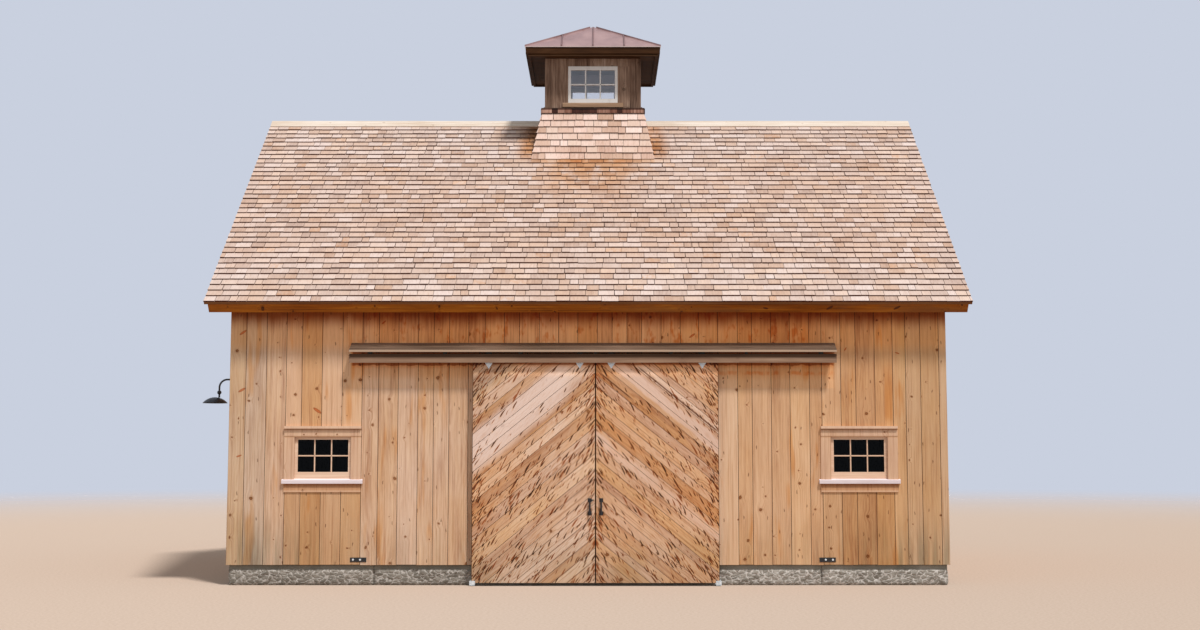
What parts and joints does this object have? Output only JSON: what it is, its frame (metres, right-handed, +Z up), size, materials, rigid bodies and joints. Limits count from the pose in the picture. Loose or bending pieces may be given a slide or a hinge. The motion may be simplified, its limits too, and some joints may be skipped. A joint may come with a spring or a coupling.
{
  "type": "timber barn with a cupola and sliding doors",
  "caption": "Unpainted timber barn with a shingled gable roof, a copper-topped cupola and a pair of hung sliding doors that part under a wooden hood.",
  "frame": {"origin": "on the ground at the middle of the walls' footprint", "axes": "+Z up, the front with the doors faces -Y, +X to the right seen from the front"},
  "size_m": [9.956, 7.518, 8.1833],
  "materials": {
    "stone": "rough split stone",
    "concrete": "trowelled slab",
    "siding": "unpainted vertical boards",
    "timber": "sawn frame timber",
    "shingles": "new cedar shingles",
    "trim": "oiled trim boards",
    "pale_wood": "planed pale boards",
    "weathered_wood": "weathered boards",
    "white_wood": "white painted frames",
    "door_boards": "diagonal boards",
    "copper": "dull copper sheet",
    "glass": "clear panes over a dark room",
    "zinc": "galvanised",
    "iron": "black enamel"
  },
  "bodies": {
    "barn": {"foundation_front": "stone", "foundation_back": "stone", "foundation_ends": "stone", "floor_slab": "concrete", "front_wall_left": "siding", "front_wall_right": "siding", "front_wall_over_door": "siding", "back_wall": "siding", "left_gable_wall": "siding", "right_gable_wall": "siding", "posts": "timber", "wall_plates": "timber", "tie_beams": "timber", "door_lintel": "timber", "rafters": "timber", "ridge_beam": "timber", "roof_front": "shingles", "roof_back": "shingles", "eave_boards": "trim", "rake_boards": "trim", "ridge_boards": "pale_wood", "window_casings": "siding", "window_sills": "pale_wood", "window_sashes": "pale_wood", "window_glass": "glass", "cupola_skirt": "shingles", "cupola_band": "trim", "cupola_walls": "weathered_wood", "cupola_sills": "pale_wood", "cupola_window_frames": "white_wood", "cupola_glass": "glass", "cupola_cornice": "weathered_wood", "cupola_roof": "copper", "track_hood": "weathered_wood", "hood_valance": "weathered_wood", "hood_brackets": "zinc", "door_rail": "zinc", "floor_guides": "zinc", "wall_bars": "iron", "lamp_arm": "iron", "lamp_shade": "iron"},
    "left_door": {"left_door_boards": "door_boards", "left_door_frame": "timber", "left_door_hangers": "zinc", "left_door_handle": "iron"},
    "right_door": {"right_door_boards": "door_boards", "right_door_frame": "timber", "right_door_hangers": "zinc", "right_door_handle": "iron"}
  },
  "joints": [
    {"name": "left_door_slide", "type": "slide", "parent": "barn", "child": "left_door", "axis": [-1, 0, 0], "range_m": [0, 1.5]},
    {"name": "right_door_slide", "type": "slide", "parent": "barn", "child": "right_door", "axis": [1, 0, 0], "range_m": [0, 1.5]}
  ]
}
